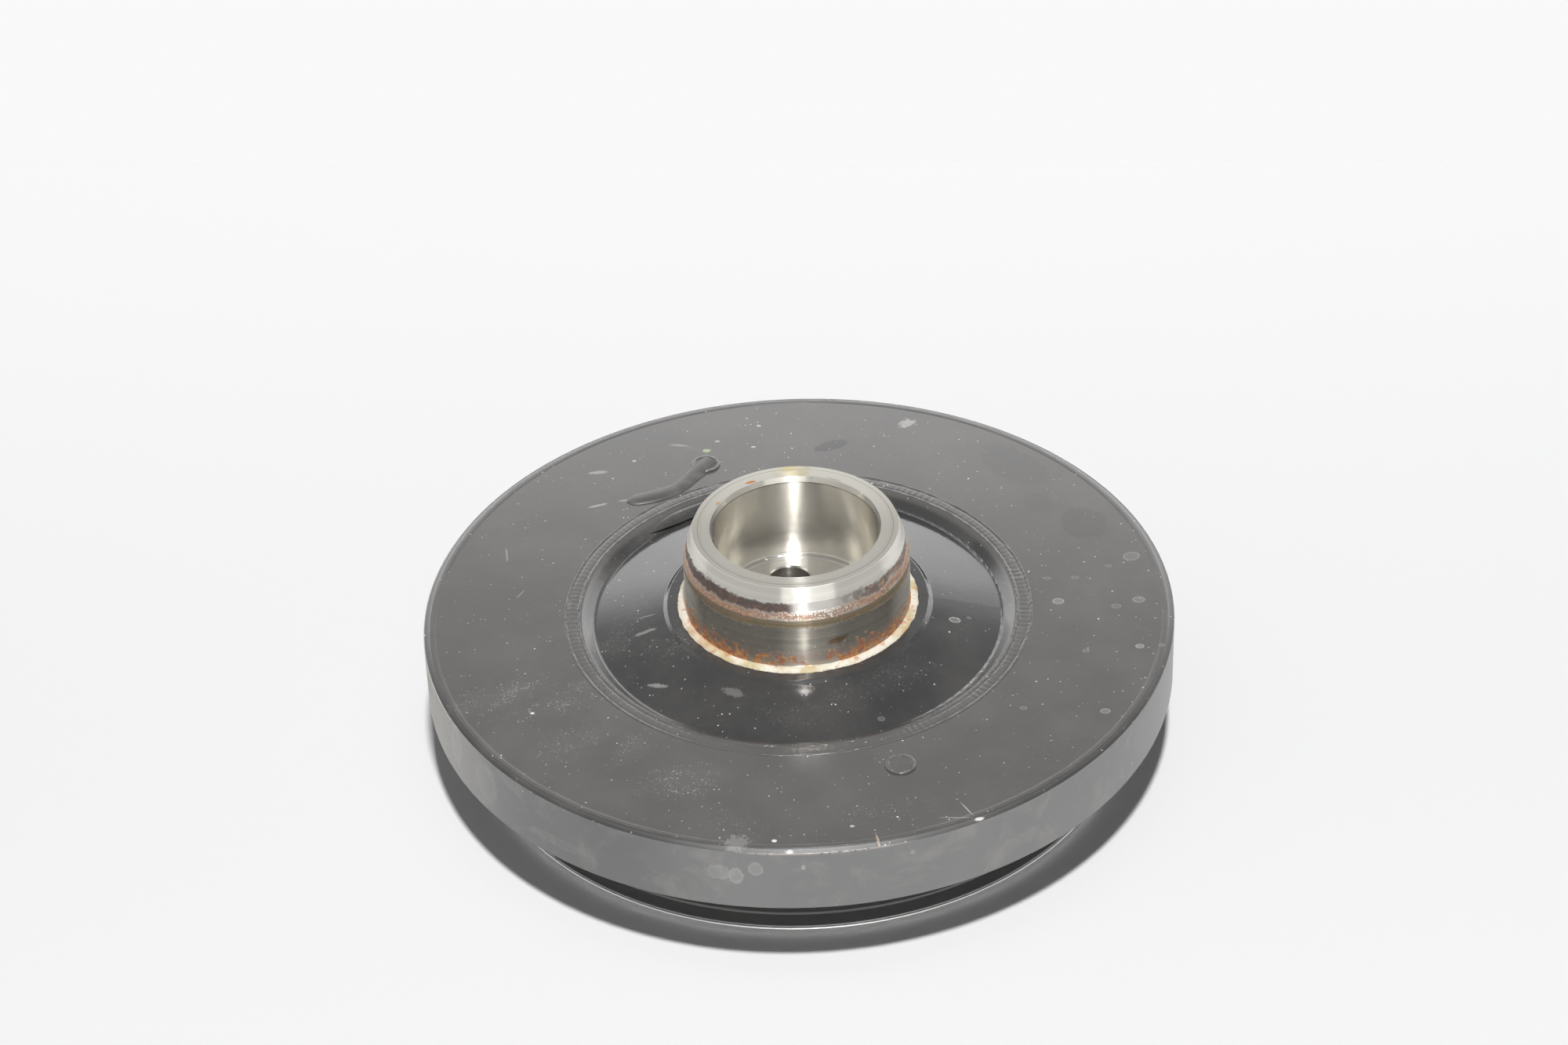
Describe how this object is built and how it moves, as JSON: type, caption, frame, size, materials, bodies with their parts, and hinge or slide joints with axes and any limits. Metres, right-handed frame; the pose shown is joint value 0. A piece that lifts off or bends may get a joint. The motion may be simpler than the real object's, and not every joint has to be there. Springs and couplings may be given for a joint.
{
  "type": "crankshaft pulley with viscous torsional vibration damper",
  "caption": "Crankshaft pulley: ribbed belt pulley under a sealed viscous damper disc, with a machined hub nose, blind bore and bolt holes.",
  "frame": {"origin": "on the pulley's axis, at the flat front rim of the belt pulley that it rests on", "axes": "+Z along the axis towards the hub's nose, which faces the engine; +X and +Y in the plane of the disc, with +Y away from the picture's camera"},
  "size_m": [0.21, 0.21, 0.0688],
  "materials": {
    "black_paint": "semi-gloss black paint, dusty and scuffed",
    "pulley_paint": "satin black paint",
    "machined_steel": "turned and polished, with rust bands",
    "cream_sealer": "dull cream",
    "inner_iron": "machined",
    "bearing_polymer": "dull"
  },
  "bodies": {
    "pulley": {"hub": "machined_steel", "damper_housing": "black_paint", "cover_plate": "black_paint", "inner_weld_bead": "black_paint", "outer_weld_bead": "black_paint", "belt_pulley": "pulley_paint", "pulley_weld_bead": "pulley_paint", "hub_weld_bead": "pulley_paint", "sealer_ring": "cream_sealer", "fill_plug_1": "black_paint", "fill_plug_2": "black_paint"},
    "inertia_mass": {"inertia_ring": "inner_iron", "bearing_band": "bearing_polymer", "thrust_pad_lower_1": "bearing_polymer", "thrust_pad_lower_2": "bearing_polymer", "thrust_pad_lower_3": "bearing_polymer", "thrust_pad_lower_4": "bearing_polymer", "thrust_pad_upper_1": "bearing_polymer", "thrust_pad_upper_2": "bearing_polymer", "thrust_pad_upper_3": "bearing_polymer", "thrust_pad_upper_4": "bearing_polymer"}
  },
  "joints": [
    {"name": "inertia_ring_spin", "type": "hinge", "parent": "pulley", "child": "inertia_mass", "pos_m": [0, 0, 0.0309], "axis": [0, 0, 1], "continuous": true}
  ]
}
